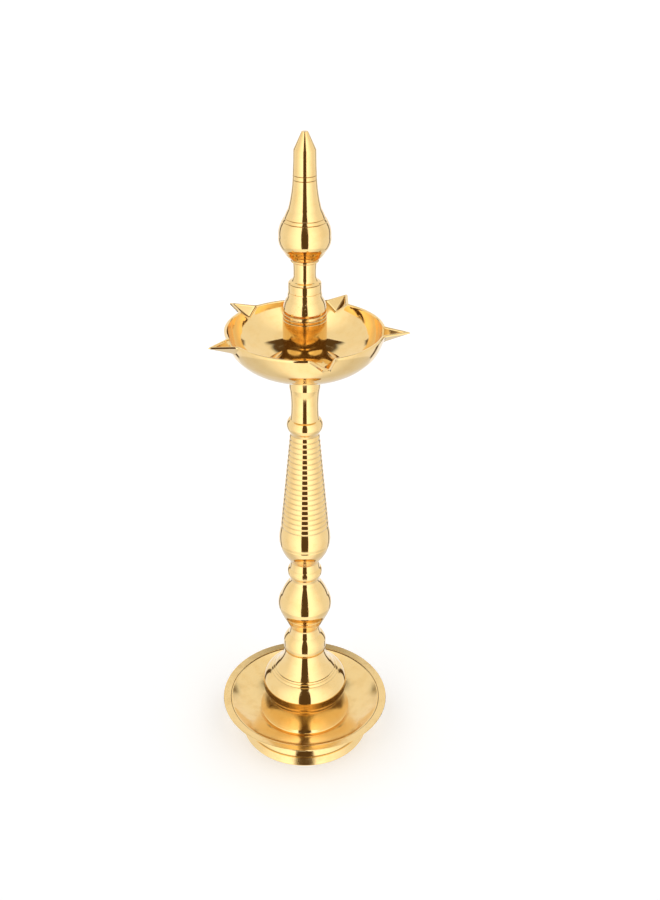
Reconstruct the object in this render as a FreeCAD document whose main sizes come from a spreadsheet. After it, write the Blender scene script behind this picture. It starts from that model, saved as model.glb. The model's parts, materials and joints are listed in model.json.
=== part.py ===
import FreeCAD, Part

import math
import os

import Sketcher

# A brass standing oil lamp, a samai: a dished tray with a bell on it, a turned stem in two
# pieces, an oil bowl with five wick beaks, a pillar in the bowl and a finial on top.
# Each piece is turned on a lathe, so its outline is revolved about +Z. The pieces stack on
# +Z with the table at z = 0, and threaded studs on the axis hold them together.

TINY = 1e-9     # below this a sketch coordinate counts as lying on its axis, in mm
CLOSE = 1e-6    # within this two sketch points are the same point, in mm

doc = FreeCAD.newDocument("samai")
sheet = doc.addObject("Spreadsheet::Sheet", "Sheet")
VALUES = {}


def cell(alias, value):
    """Store one driving dimension in the sheet under its alias."""
    row = len(VALUES) + 1
    sheet.set("A%d" % row, alias)
    sheet.set("B%d" % row, str(value))
    sheet.setAlias("B%d" % row, alias)
    VALUES[alias] = value


# ---------------------------------------------------------------- driving dimensions, in mm
# Heights at which one piece stands on the next.
cell("floor_height", 17.5)      # the tray's floor, where the bell stands
cell("collar_base", 75.0)
cell("baluster_base", 95.7)
cell("column_base", 153.5)
cell("bowl_base", 299.8)
cell("pillar_base", 303.4)
cell("finial_base", 357.6)

# Studs, their bores and the parts under the tray.
cell("base_stud_radius", 4.0)
cell("stud_radius", 3.2)
cell("running_gap", 0.06)       # radial gap between a stud and its bore
cell("base_stud_start", 4.6)
cell("base_stud_length", 101.0)
cell("column_stud_start", 140.5)
cell("column_stud_length", 21.9)
cell("bowl_stud_start", 286.8)
cell("bowl_stud_length", 25.5)
cell("finial_stud_start", 344.6)
cell("finial_stud_length", 21.9)
cell("stud_tip", 0.8)           # the chamfer at a stud's ends
cell("bore_relief", 1.5)        # how much deeper each bore is than its stud
cell("tray_floor_thickness", 1.9)
cell("nut_width", 13.0)         # across the flats
cell("nut_thickness", 6.5)
cell("washer_radius", 14.0)
cell("washer_thickness", 1.6)
cell("seal_outer_radius", 9.0)
cell("seal_thickness", 1.2)

# The bowl's beaks: pinched V channels that hold the wicks.
cell("rim_height", 32.7)        # above the bowl's foot
cell("beak_root", 46.0)         # radius at which a beak's section is taken inside the wall
cell("beak_reach", 68.4)        # radius of a beak's point
cell("beak_root_half_width", 11.6)
cell("beak_root_depth", 9.6)
cell("beak_point_half_width", 0.9)
cell("beak_point_depth", 0.9)
cell("channel_reach", 66.4)     # radius at which the channel inside a beak ends
cell("channel_root_half_width", 10.0)
cell("channel_root_depth", 7.8)
cell("channel_end_half_width", 0.35)
cell("channel_end_depth", 0.3)
cell("channel_rise", 0.4)       # how far the channel's cutter stands above the rim
# Each beak points this many degrees round from +X. They were pinched by eye, so they differ.
BEAK_ANGLES = {"a": -5.8, "b": 64.4, "c": 138.6, "d": 208.0, "e": 282.4}
for letter, degrees in BEAK_ANGLES.items():
    cell("beak_angle_" + letter, degrees)

# Turned ribs of the column.
cell("rib_count", 20)
cell("rib_foot_height", 30.2)   # lowest groove, above the column's foot
cell("rib_top_height", 102.6)   # highest groove
cell("rib_foot_radius", 16.45)
cell("rib_top_radius", 9.6)
cell("rib_bulge", 0.52)         # how far a rib swells out between two grooves

# Outlines of the turned pieces. A station is (name, radius, height above the piece's foot,
# bulge of the stretch that leads to the next station). The stretch is straight where the
# bulge is 0 and otherwise an arc whose middle stands off its chord by the bulge, to the
# right of the direction of travel, which is outwards on an outline that runs upwards.
TRAY = [
    ("foot_inside", 41.6, 0.0, 0),
    ("foot_sole", 47.9, 0.0, 0),
    ("foot_ring", 48.1, 0.6, 0.1),
    ("foot_ring_top", 46.2, 6.0, 0),
    ("foot_groove", 45.2, 6.5, 0),
    ("foot_neck", 45.6, 7.1, -0.4),
    ("foot_throat", 44.9, 15.6, 0),
    ("underside_root", 46.4, 17.4, 0.4),
    ("underside_rim", 61.3, 27.8, 0),
    ("rim_edge", 62.5, 28.4, 0.2),
    ("rim_corner", 62.0, 29.1, 0),
    ("rim_line_outside", 57.05, 28.5, 0),
    ("rim_line", 56.8, 28.1, 0),
    ("rim_line_inside", 56.5, 28.4, 0),
    ("wall_top", 55.8, 28.2, -1.2),
    ("wall_foot", 36.2, 18.0, 0),
    ("floor_edge", 34.6, 17.5, 0),
]
UNDERSIDE = [
    ("floor_below_edge", 33.0, 15.6, 0.35),
    ("foot_root", 41.6, 17.9, 0),
]

BELL = [
    ("foot", 33.3, 0.0, 0),
    ("foot_corner", 33.9, 0.6, 0.2),
    ("skirt_edge", 33.6, 1.5, -1.2),
    ("waist", 29.4, 15.5, 0.15),
    ("under_dome", 30.4, 19.5, 0.3),
    ("dome_widest", 31.5, 24.5, 2.2),
    ("line_c_below", 25.3, 37.15, 0),
    ("line_c", 24.85, 37.35, 0),
    ("line_c_above", 24.95, 37.65, 0.05),
    ("line_b_below", 23.9, 38.85, 0),
    ("line_b", 23.45, 39.05, 0),
    ("line_b_above", 23.5, 39.4, 0.05),
    ("line_a_below", 22.7, 40.2, 0),
    ("line_a", 22.25, 40.35, 0),
    ("line_a_above", 22.35, 40.7, 0.1),
    ("shoulder", 19.0, 45.2, -0.9),
    ("neck", 15.2, 57.5, 0),
]
BELL_HOLLOW = [
    ("roof", 12.6, 55.0, 0),
    ("throat", 13.4, 53.0, 1.0),
    ("hollow_shoulder", 17.0, 44.0, -2.3),
    ("hollow_widest", 28.8, 25.0, 0),
    ("hollow_waist", 27.3, 15.5, 1.0),
    ("hollow_foot", 31.3, 0.0, 0),
]

COLLAR = [
    ("foot", 15.3, 0.0, 0),
    ("foot_corner", 15.6, 0.3, 0.25),
    ("widest", 15.5, 8.6, 0.4),
    ("shoulder", 11.8, 14.0, -0.25),
    ("top", 11.1, 20.7, 0),
]

BALUSTER = [
    ("foot", 11.0, 0.0, 0),
    ("foot_corner", 11.2, 0.3, 0.1),
    ("band_foot", 16.3, 10.6, 0),
    ("band", 16.0, 11.1, 0),
    ("band_top", 16.7, 11.5, 0.2),
    ("belt_below", 18.8, 17.2, 0),
    ("belt", 18.65, 17.6, 0),
    ("belt_above", 19.2, 17.9, 1.15),
    ("crown", 17.0, 28.8, 0.65),
    ("upper_neck_foot", 10.8, 39.8, -0.4),
    ("bead_foot", 10.9, 44.9, 0.5),
    ("bead_widest", 12.35, 48.8, 0.5),
    ("bead_top", 10.9, 52.2, -0.1),
    ("top", 10.4, 57.8, 0),
]

COLUMN_FOOT = [
    ("foot", 10.3, 0.0, 0),
    ("foot_corner", 10.6, 0.25, -0.35),
    ("cup_foot", 12.9, 4.0, 0.75),
    ("cup_edge", 17.75, 15.3, 0),
    ("cup_line", 17.6, 15.8, 0),
    ("band_foot", 18.1, 16.2, 0.75),
]
COLUMN_HEAD = [
    ("ring_foot", 10.6, 105.0, 0.35),
    ("ring_widest", 12.25, 109.2, 0.5),
    ("ring_top", 10.6, 113.8, 0),
    ("neck_foot", 9.7, 114.3, -0.85),
    ("neck_head", 10.35, 137.5, -0.05),
    ("flare", 11.0, 144.6, 0.1),
    ("top_corner", 11.0, 146.0, 0),
    ("top", 10.7, 146.3, 0),
]

BOWL_OUTSIDE = [
    ("foot", 11.3, 0.0, 0.6),
    ("underside", 32.5, 7.6, 1.5),
    ("turn", 47.6, 19.0, 1.0),
    ("lip_outside", 51.9, 31.9, 0.25),
    ("lip_top_outside", 51.3, 32.7, 0),
]
BOWL_INSIDE = [
    ("floor_middle", 18.0, 3.6, 0.5),
    ("floor", 32.0, 9.3, 1.5),
    ("inner_turn", 45.9, 20.0, 1.0),
    ("lip_inside", 49.9, 32.2, 0),
]
MOUTH_CUT_HEIGHT = 40.0     # the top of the bowl's cutter, clear of the rim
HOLE_CUT_LOW = -2.0         # the ends of the stud hole's cutter, clear of the bowl's floor
HOLE_CUT_HIGH = 8.0

NUT_SIDES = 6

PILLAR = [
    ("foot_inside", 9.4, 0.0, 0),
    ("foot_flat", 18.0, 0.0, 0),
    ("skirt_below", 25.2, 3.2, 0),
    ("skirt_edge", 25.4, 3.9, -4.6),
    ("shaft_foot", 14.3, 20.6, 0.15),
    ("groove_c_below", 14.25, 35.7, 0),
    ("groove_c", 13.75, 36.1, 0),
    ("groove_c_above", 14.2, 36.5, 0),
    ("groove_b_below", 14.15, 37.9, 0),
    ("groove_b", 13.65, 38.3, 0),
    ("groove_b_above", 14.1, 38.7, 0),
    ("groove_a_below", 14.0, 40.1, 0),
    ("groove_a", 13.5, 40.5, 0),
    ("groove_a_above", 13.9, 40.9, 0.6),
    ("shoulder", 12.0, 49.2, -0.35),
    ("throat", 11.0, 52.6, 0),
    ("top_corner", 10.7, 53.9, 0),
    ("top", 10.4, 54.2, 0),
]

FINIAL = [
    ("foot", 10.3, 0.0, 0),
    ("foot_corner", 10.6, 0.3, 0.12),
    ("band_top", 10.5, 5.3, 0),
    ("band_line", 10.0, 5.7, 0),
    ("cap_foot", 10.4, 6.0, 0.15),
    ("cap_top", 8.5, 7.5, -0.4),
    ("neck_foot", 7.2, 10.8, -0.15),
    ("neck_top", 7.5, 19.3, 0),
    ("neck_ring", 8.9, 20.0, 0.2),
    ("neck_ring_top", 8.8, 21.2, 0.45),
    ("ball_foot", 13.6, 26.9, 1.1),
    ("ball_widest", 16.5, 36.2, 0.7),
    ("line_b_below", 14.3, 45.4, 0),
    ("line_b", 13.85, 45.65, 0),
    ("line_b_above", 14.0, 45.95, 0.05),
    ("line_a_below", 13.05, 47.45, 0),
    ("line_a", 12.6, 47.65, 0),
    ("line_a_above", 12.7, 48.0, 0.1),
    ("ball_top", 10.3, 53.2, -0.45),
    ("spire_line_b_below", 7.5, 70.7, 0),
    ("spire_line_b", 7.15, 70.95, 0),
    ("spire_line_b_above", 7.45, 71.2, 0),
    ("spire_line_a_below", 7.4, 73.4, 0),
    ("spire_line_a", 7.05, 73.65, 0),
    ("spire_line_a_above", 7.35, 73.9, -0.05),
    ("spire_top", 6.95, 88.5, 0),
    ("point_foot", 6.85, 88.9, 0),
    ("point", 2.15, 98.9, 0.1),
    ("point_flat", 1.7, 99.4, 0),
]


def on_axis(outline, foot_bore, head_bore):
    """Close an outline on the axis, or round blind bores given as (radius, depth)."""
    top_height = outline[-1][2]
    stations = list(outline)
    if head_bore:
        radius, depth = head_bore
        stations.append(("head_bore_mouth", radius, top_height, 0))
        stations.append(("head_bore_end", radius, top_height - depth, 0))
        stations.append(("head_bore_middle", 0.0, top_height - depth, 0))
    else:
        stations.append(("top_middle", 0.0, top_height, 0))
    if foot_bore:
        radius, depth = foot_bore
        stations.append(("foot_bore_middle", 0.0, depth, 0))
        stations.append(("foot_bore_end", radius, depth, 0))
        stations.append(("foot_bore_mouth", radius, outline[0][2], 0))
    else:
        stations.append(("foot_middle", 0.0, outline[0][2], 0))
    return stations


def with_hole(outline, radius, low, high):
    """Close an outline round a hole that goes right through, from height high to low."""
    return outline + [("hole_top", radius, high, 0), ("hole_foot", radius, low, 0)]


def origin_plane(body, role):
    """Find one of a body's own origin planes by its role."""
    for feature in body.Origin.OriginFeatures:
        if feature.Role == role:
            return feature
    raise ValueError("no plane " + role)


def new_sketch(body, name, role):
    """Attach an empty sketch to one of the body's origin planes."""
    sketch = body.newObject("Sketcher::SketchObject", name)
    sketch.AttachmentSupport = [(origin_plane(body, role), "")]
    sketch.MapMode = "FlatFace"
    return sketch


def bind(sketch, constraint, text):
    """Tie a dimension of a sketch to an expression on the sheet."""
    sketch.setExpression("Constraints[%d]" % constraint, text)


def arc_through(first, last, bulge):
    """The arc from first to last whose middle stands off to the right by the bulge."""
    chord = last - first
    right = FreeCAD.Vector(chord.y, -chord.x, 0)
    right.normalize()
    middle = (first + last) * 0.5 + right * bulge
    return Part.Arc(first, middle, last)


def place_point(sketch, geometry, end, across, up):
    """Hold one point of a sketch at (across, up): each a (value, expression) pair."""
    for kind, axis, (value, text) in (("DistanceX", -2, across), ("DistanceY", -1, up)):
        if abs(value) < TINY:
            sketch.addConstraint(Sketcher.Constraint("PointOnObject", geometry, end, axis))
        else:
            rule = Sketcher.Constraint(kind, -1, 1, geometry, end, value)
            bind(sketch, sketch.addConstraint(rule), text)


def draw_outline(sketch, stations):
    """Draw a closed outline. A station is (across, up, bulge), each (value, expression)."""
    points = [FreeCAD.Vector(station[0][0], station[1][0], 0) for station in stations]
    starts = []
    ends = []
    for i, station in enumerate(stations):
        first = points[i]
        last = points[(i + 1) % len(points)]
        bulge = station[2][0]
        if bulge:
            geometry = sketch.addGeometry(arc_through(first, last, bulge), False)
        else:
            geometry = sketch.addGeometry(Part.LineSegment(first, last), False)
        begins = sketch.getPoint(geometry, 1).distanceToPoint(first) < CLOSE
        starts.append((geometry, 1 if begins else 2))
        ends.append((geometry, 2 if begins else 1))
    for i, station in enumerate(stations):
        before = ends[i - 1]
        here = starts[i]
        sketch.addConstraint(Sketcher.Constraint("Coincident", *before, *here))
        place_point(sketch, *here, station[0], station[1])
    for i, (across, up, bulge) in enumerate(stations):
        if bulge[0]:
            chord = points[i].distanceToPoint(points[(i + 1) % len(points)])
            size = abs(bulge[0])
            radius = (chord * chord / 4 + size * size) / (2 * size)
            after = stations[(i + 1) % len(stations)]
            text = "(pow(%s - (%s); 2) + pow(%s - (%s); 2)) / (8 * abs(%s)) + abs(%s) / 2" % (
                across[1], after[0][1], up[1], after[1][1], bulge[1], bulge[1])
            rule = Sketcher.Constraint("Radius", starts[i][0], radius)
            bind(sketch, sketch.addConstraint(rule), text)


def from_sheet(piece, stations):
    """Put a piece's stations in the sheet and give them back as (value, expression) pairs."""
    bound = []
    for name, radius, height, bulge in stations:
        pairs = []
        for kind, value in (("radius", radius), ("height", height), ("bulge", bulge)):
            alias = "%s_%s_%s" % (piece, name, kind)
            if value:
                cell(alias, value)
            pairs.append((value, "Sheet." + alias if value else "0"))
        bound.append(tuple(pairs))
    return bound


def revolve(body, sketch, type_name, name):
    """Turn a sketch once round the body's Z axis, as a Revolution or a Groove."""
    feature = body.newObject(type_name, name)
    feature.Profile = sketch
    feature.ReferenceAxis = (sketch, ["V_Axis"])
    feature.Angle = 360.0
    sketch.Visibility = False
    return feature


def new_body(label, base_text):
    """Start a sub-part whose foot stands at the height that the sheet gives."""
    body = doc.addObject("PartDesign::Body", label)
    body.Label = label
    body.setExpression("Placement.Base.z", base_text)
    return body


def turned(label, base_text, stations):
    """Make a turned sub-part from its outline."""
    body = new_body(label, base_text)
    sketch = new_sketch(body, label + "_outline", "XZ_Plane")
    draw_outline(sketch, stations)
    revolve(body, sketch, "PartDesign::Revolution", label + "_turning")
    return body


def bore_above(name, radius, seam):
    """The blind bore, as (radius, depth), that takes a stud's upper end over a seam."""
    length = VALUES[name + "_start"] + VALUES[name + "_length"] - VALUES[seam]
    return VALUES[radius] + VALUES["running_gap"], length + VALUES["bore_relief"]


def bore_below(name, radius, seam):
    """The blind bore, as (radius, depth), that takes a stud's lower end under a seam."""
    length = VALUES[seam] - VALUES[name + "_start"]
    return VALUES[radius] + VALUES["running_gap"], length + VALUES["bore_relief"]


# ---------------------------------------------------------------- base
BASE_HOLE = VALUES["base_stud_radius"] + VALUES["running_gap"]


def base_tray():
    """Dished tray with its rim and foot ring, and the stud's hole in its floor."""
    floor_top = VALUES["floor_height"]
    floor_below = floor_top - VALUES["tray_floor_thickness"]
    outline = with_hole(TRAY, BASE_HOLE, floor_below, floor_top) + UNDERSIDE
    return turned("base_tray", "0", from_sheet("tray", outline))


def base_bell():
    """Hollow bell: a flared skirt, a waist and an ogee dome with three scribed lines."""
    outline = with_hole(BELL, BASE_HOLE, BELL_HOLLOW[0][2], BELL[-1][2]) + BELL_HOLLOW
    return turned("base_bell", "Sheet.floor_height", from_sheet("bell", outline))


def base_collar():
    """Short collar between the bell and the stem."""
    outline = with_hole(COLLAR, BASE_HOLE, 0.0, COLLAR[-1][2])
    return turned("base_collar", "Sheet.collar_base", from_sheet("collar", outline))


# ---------------------------------------------------------------- stem
def baluster():
    """Lower stem: a pear-shaped ball and a bead over it, bored at both ends."""
    foot_bore = bore_above("base_stud", "base_stud_radius", "baluster_base")
    head_bore = bore_below("column_stud", "stud_radius", "column_base")
    outline = on_axis(BALUSTER, foot_bore, head_bore)
    return turned("baluster", "Sheet.baluster_base", from_sheet("baluster", outline))


def rib_stations():
    """Grooves of the ribbed stretch, from the lowest up, as bound (value, expression) pairs."""
    steps = int(VALUES["rib_count"]) - 1
    stations = []
    for i in range(steps + 1):
        share = i / steps
        pairs = []
        for foot, top in (("rib_foot_radius", "rib_top_radius"),
                          ("rib_foot_height", "rib_top_height")):
            value = VALUES[foot] + (VALUES[top] - VALUES[foot]) * share
            text = "Sheet.%s + (Sheet.%s - Sheet.%s) * %d / (Sheet.rib_count - 1)" % (
                foot, top, foot, i)
            pairs.append((value, text))
        stations.append((pairs[0], pairs[1], (VALUES["rib_bulge"], "Sheet.rib_bulge")))
    return stations


def ribbed_column():
    """Upper stem: a cup, a tapering stretch of turned ribs, a ring and a slender neck."""
    foot_bore = bore_above("column_stud", "stud_radius", "column_base")
    head_bore = bore_below("bowl_stud", "stud_radius", "bowl_base")
    outline = from_sheet("column", on_axis(COLUMN_FOOT + COLUMN_HEAD, foot_bore, head_bore))
    split = len(COLUMN_FOOT)
    outline = outline[:split] + rib_stations() + outline[split:]
    return turned("ribbed_column", "Sheet.column_base", outline)


# ---------------------------------------------------------------- bowl
def beak_section(body, name, angle, radius, half_width, depth, rise):
    """A V section across a beak, at a radius. Its top is at the rim, plus a rise if named."""
    sketch = new_sketch(body, name, "YZ_Plane")
    turn = VALUES[angle]
    sketch.AttachmentOffset = FreeCAD.Placement(
        FreeCAD.Vector(), FreeCAD.Rotation(FreeCAD.Vector(0, 1, 0), turn))
    sketch.setExpression("AttachmentOffset.Rotation.Angle", "Sheet.%s * 1 deg" % angle)
    for axis, share in (("x", "sin"), ("z", "cos")):
        sketch.setExpression("AttachmentOffset.Base." + axis,
                             "Sheet.%s * %s(Sheet.%s * 1 deg)" % (radius, share, angle))
    top = (VALUES["rim_height"], "Sheet.rim_height")
    if rise:
        top = (top[0] + VALUES[rise], "%s + Sheet.%s" % (top[1], rise))
    low = (VALUES["rim_height"] - VALUES[depth], "Sheet.rim_height - Sheet.%s" % depth)
    flat = (0, "0")
    draw_outline(sketch, [
        ((-VALUES[half_width], "-Sheet.%s" % half_width), top, flat),
        ((0.0, "0"), low, flat),
        ((VALUES[half_width], "Sheet.%s" % half_width), top, flat),
    ])
    sketch.Visibility = False
    return sketch


def oil_bowl():
    """Cast bowl: a dish, five beaks drawn out of its wall, and a V channel in each."""
    body = new_body("oil_bowl", "Sheet.bowl_base")
    solid = new_sketch(body, "bowl_outside", "XZ_Plane")
    draw_outline(solid, from_sheet("bowl", on_axis(BOWL_OUTSIDE, None, None)))
    revolve(body, solid, "PartDesign::Revolution", "bowl_turning")
    beaks = ["beak_angle_" + letter for letter in BEAK_ANGLES]
    for angle in beaks:
        root = beak_section(body, angle + "_root", angle, "beak_root",
                            "beak_root_half_width", "beak_root_depth", None)
        point = beak_section(body, angle + "_point", angle, "beak_reach",
                             "beak_point_half_width", "beak_point_depth", None)
        loft = body.newObject("PartDesign::AdditiveLoft", angle + "_beak")
        loft.Profile = root
        loft.Sections = [point]
        loft.Ruled = True
    inside = BOWL_INSIDE + [
        ("mouth", BOWL_INSIDE[-1][1], MOUTH_CUT_HEIGHT, 0),
        ("mouth_middle", 0.0, MOUTH_CUT_HEIGHT, 0),
        ("floor_centre", 0.0, BOWL_INSIDE[0][2], 0),
    ]
    hollow = new_sketch(body, "bowl_inside", "XZ_Plane")
    draw_outline(hollow, from_sheet("bowl_inside", inside))
    revolve(body, hollow, "PartDesign::Groove", "bowl_hollow")
    for angle in beaks:
        root = beak_section(body, angle + "_channel_root", angle, "beak_root",
                            "channel_root_half_width", "channel_root_depth", "channel_rise")
        end = beak_section(body, angle + "_channel_end", angle, "channel_reach",
                           "channel_end_half_width", "channel_end_depth", "channel_rise")
        loft = body.newObject("PartDesign::SubtractiveLoft", angle + "_channel")
        loft.Profile = root
        loft.Sections = [end]
        loft.Ruled = True
    hole = new_sketch(body, "bowl_hole_outline", "XZ_Plane")
    hole_radius = VALUES["stud_radius"] + VALUES["running_gap"]
    draw_outline(hole, from_sheet("bowl_hole", [
        ("low_middle", 0.0, HOLE_CUT_LOW, 0),
        ("low", hole_radius, HOLE_CUT_LOW, 0),
        ("high", hole_radius, HOLE_CUT_HIGH, 0),
        ("high_middle", 0.0, HOLE_CUT_HIGH, 0),
    ]))
    revolve(body, hole, "PartDesign::Groove", "bowl_hole")
    return body


def bowl_pillar():
    """Pillar on the bowl's floor: a flared foot, three grooves and a shoulder."""
    foot_bore = bore_above("bowl_stud", "stud_radius", "pillar_base")
    head_bore = bore_below("finial_stud", "stud_radius", "finial_base")
    outline = on_axis(PILLAR, foot_bore, head_bore)
    recess = VALUES["seal_thickness"]
    mouth = outline.pop()
    outline.append((mouth[0], mouth[1], recess, 0))
    outline.append(("recess_edge", PILLAR[0][1], recess, 0))
    return turned("bowl_pillar", "Sheet.pillar_base", from_sheet("pillar", outline))


def finial():
    """Finial: a collar, a waisted neck, a ball with scribed lines and a pointed spire."""
    foot_bore = bore_above("finial_stud", "stud_radius", "finial_base")
    outline = on_axis(FINIAL, foot_bore, None)
    return turned("finial", "Sheet.finial_base", from_sheet("finial", outline))


# ---------------------------------------------------------------- studs, nut, washer, seal
def stud(label, radius):
    """A round stud with chamfered ends. Its thread is fine, so it is left plain here."""
    tip = VALUES["stud_tip"]
    length = VALUES[label + "_length"]
    size = VALUES[radius]
    flat = (0, "0")
    long_text = "Sheet.%s_length" % label
    stations = [
        ((0.0, "0"), (0.0, "0"), flat),
        ((size - tip, "Sheet.%s - Sheet.stud_tip" % radius), (0.0, "0"), flat),
        ((size, "Sheet.%s" % radius), (tip, "Sheet.stud_tip"), flat),
        ((size, "Sheet.%s" % radius), (length - tip, long_text + " - Sheet.stud_tip"), flat),
        ((size - tip, "Sheet.%s - Sheet.stud_tip" % radius), (length, long_text), flat),
        ((0.0, "0"), (length, long_text), flat),
    ]
    return turned(label, "Sheet.%s_start" % label, stations)


def ring(label, base_text, outer, inner_text, height):
    """A flat round ring: a cylinder less a smaller cylinder on the same axis."""
    parts = []
    for name, radius_text in (("disc", "Sheet.%s" % outer), ("hole", inner_text)):
        cylinder = doc.addObject("Part::Cylinder", "%s_%s" % (label, name))
        cylinder.setExpression("Radius", radius_text)
        cylinder.setExpression("Height", "Sheet.%s" % height)
        parts.append(cylinder)
    cut = doc.addObject("Part::Cut", label)
    cut.Base = parts[0]
    cut.Tool = parts[1]
    cut.Label = label
    cut.setExpression("Placement.Base.z", base_text)
    return cut


def base_nut():
    """Hexagon nut under the tray."""
    body = new_body("base_nut", "Sheet.floor_height - Sheet.tray_floor_thickness"
                    " - Sheet.washer_thickness - Sheet.nut_thickness")
    sketch = new_sketch(body, "nut_outline", "XY_Plane")
    corner = VALUES["nut_width"] / math.sqrt(3)
    flat = (0, "0")
    stations = []
    for i in range(NUT_SIDES):
        angle = 360 * (i + 0.5) / NUT_SIDES
        across = corner * math.cos(math.radians(angle))
        up = corner * math.sin(math.radians(angle))
        text = "Sheet.nut_width / sqrt(3) * %s(%g deg)"
        stations.append(((across, text % ("cos", angle)), (up, text % ("sin", angle)), flat))
    draw_outline(sketch, stations)
    circle = Part.Circle(FreeCAD.Vector(), FreeCAD.Vector(0, 0, 1), BASE_HOLE)
    hole = sketch.addGeometry(circle, False)
    sketch.addConstraint(Sketcher.Constraint("Coincident", hole, 3, -1, 1))
    size = sketch.addConstraint(Sketcher.Constraint("Radius", hole, BASE_HOLE))
    bind(sketch, size, "Sheet.base_stud_radius + Sheet.running_gap")
    pad = body.newObject("PartDesign::Pad", "nut_pad")
    pad.Profile = sketch
    pad.setExpression("Length", "Sheet.nut_thickness")
    sketch.Visibility = False
    return body


def build():
    """Make every sub-part, from the table up."""
    stud_hole = "Sheet.stud_radius + Sheet.running_gap"
    base_hole = "Sheet.base_stud_radius + Sheet.running_gap"
    under_tray = "Sheet.floor_height - Sheet.tray_floor_thickness - Sheet.washer_thickness"
    return [
        base_tray(),
        base_bell(),
        base_collar(),
        ring("base_washer", under_tray, "washer_radius", base_hole, "washer_thickness"),
        base_nut(),
        stud("base_stud", "base_stud_radius"),
        baluster(),
        stud("column_stud", "stud_radius"),
        ribbed_column(),
        oil_bowl(),
        ring("bowl_seal", "Sheet.pillar_base", "seal_outer_radius", stud_hole, "seal_thickness"),
        stud("bowl_stud", "stud_radius"),
        bowl_pillar(),
        stud("finial_stud", "stud_radius"),
        finial(),
    ]


def check(parts):
    """Stop if any object failed to compute or any sub-part isn't one sound solid."""
    for item in doc.Objects:
        if "Invalid" in item.State or "Error" in item.State:
            raise RuntimeError("%s failed: %s" % (item.Name, item.State))
    for item in parts:
        shape = item.Shape
        if shape.isNull() or not shape.isValid() or len(shape.Solids) != 1:
            raise RuntimeError("%s isn't one valid solid" % item.Label)


sub_parts = build()
doc.recompute()
check(sub_parts)
os.makedirs("parts", exist_ok=True)
for sub_part in sub_parts:
    sub_part.Shape.exportStep("parts/%s.step" % sub_part.Label)
    box = sub_part.Shape.optimalBoundingBox(False)
    print("%-14s z %6.1f to %6.1f  volume %8.0f mm3" % (
        sub_part.Label, box.ZMin, box.ZMax, sub_part.Shape.Volume))
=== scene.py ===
# %% [markdown]
# # A brass standing oil lamp
# The lamp is a samai: a dished tray with a bell on it, a turned stem in two pieces, a bowl
# with five pinched beaks for the wicks, a pillar and a pointed finial. It could be modelled
# from nothing here, but its sizes and joints already exist as a frame of exact solids. So
# each piece either keeps its solid and gets a finish, or is replaced where the real thing
# has detail that the solid leaves out: the cast bowl, the ribs, the threads and the nut.

# %% Load the frame
import json
import math

import bmesh
import bpy
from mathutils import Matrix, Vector


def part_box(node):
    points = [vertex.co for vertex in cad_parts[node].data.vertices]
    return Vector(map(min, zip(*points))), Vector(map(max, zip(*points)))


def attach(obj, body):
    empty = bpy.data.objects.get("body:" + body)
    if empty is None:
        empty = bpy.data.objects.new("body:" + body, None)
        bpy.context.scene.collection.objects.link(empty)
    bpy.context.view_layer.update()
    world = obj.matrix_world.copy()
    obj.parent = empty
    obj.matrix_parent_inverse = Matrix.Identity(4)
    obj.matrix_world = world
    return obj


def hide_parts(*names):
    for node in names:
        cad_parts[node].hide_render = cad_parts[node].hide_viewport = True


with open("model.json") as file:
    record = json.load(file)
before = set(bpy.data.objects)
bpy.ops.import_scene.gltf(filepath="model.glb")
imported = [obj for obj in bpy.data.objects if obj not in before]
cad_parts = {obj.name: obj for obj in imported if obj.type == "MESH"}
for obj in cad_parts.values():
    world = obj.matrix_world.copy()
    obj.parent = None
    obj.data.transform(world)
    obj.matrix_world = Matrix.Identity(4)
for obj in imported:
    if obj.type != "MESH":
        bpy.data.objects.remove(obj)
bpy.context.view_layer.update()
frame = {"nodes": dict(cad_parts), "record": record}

MM = 0.001          # the frame is in metres
nodes = frame["nodes"]
body_of = {}
for body, names in frame["record"]["behaviour"]["bodies"].items():
    for name in names:
        body_of[name] = body

# %% [markdown]
# ## The camera
# A lamp like this is shown whole from a little above, so that the eye looks into the bowl.
# The camera could be aimed with a constraint, but a plain location and tilt can be read and
# changed by anyone. The long lens keeps the upright edges nearly parallel, and a small
# sideways shift puts the lamp left of the middle without turning it.

# %% Camera
CAMERA_BACK = 0.6623        # m in front of the lamp's axis
CAMERA_HEIGHT = 0.6075
CAMERA_TILT = 61.18         # degrees from looking straight down
LENS = 44.46                # mm, on a 36 mm wide sensor
SIDE_SHIFT = 0.028

camera_data = bpy.data.cameras.new("camera")
camera_data.lens = LENS
camera_data.sensor_width = 36
camera_data.shift_x = SIDE_SHIFT
camera = bpy.data.objects.new("camera", camera_data)
camera.location = (0, -CAMERA_BACK, CAMERA_HEIGHT)
camera.rotation_euler = (math.radians(CAMERA_TILT), 0, 0)
bpy.context.collection.objects.link(camera)
bpy.context.scene.camera = camera
print("the camera looks down by", round(90 - CAMERA_TILT, 1), "degrees")

# %% [markdown]
# ## Building nodes with less typing
# Materials and Geometry Nodes are both node trees. Every node could be made by hand with
# four or five lines, which soon hides the idea behind them. These three helpers add a node
# and feed its inputs in one call: a socket is linked, and anything else is set as a value.

# %% Node helpers
def put(tree, kind, feeds=None, **settings):
    """Add a node, set its settings, and link or set each input named in feeds."""
    node = tree.nodes.new(kind)
    for name, value in settings.items():
        setattr(node, name, value)
    for key, value in (feeds or {}).items():
        if isinstance(value, bpy.types.NodeSocket):
            tree.links.new(value, node.inputs[key])
        else:
            node.inputs[key].default_value = value
    return node


def calc(tree, operation, *values):
    """One Math node; returns its output socket."""
    return put(tree, "ShaderNodeMath", dict(enumerate(values)), operation=operation).outputs[0]


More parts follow.
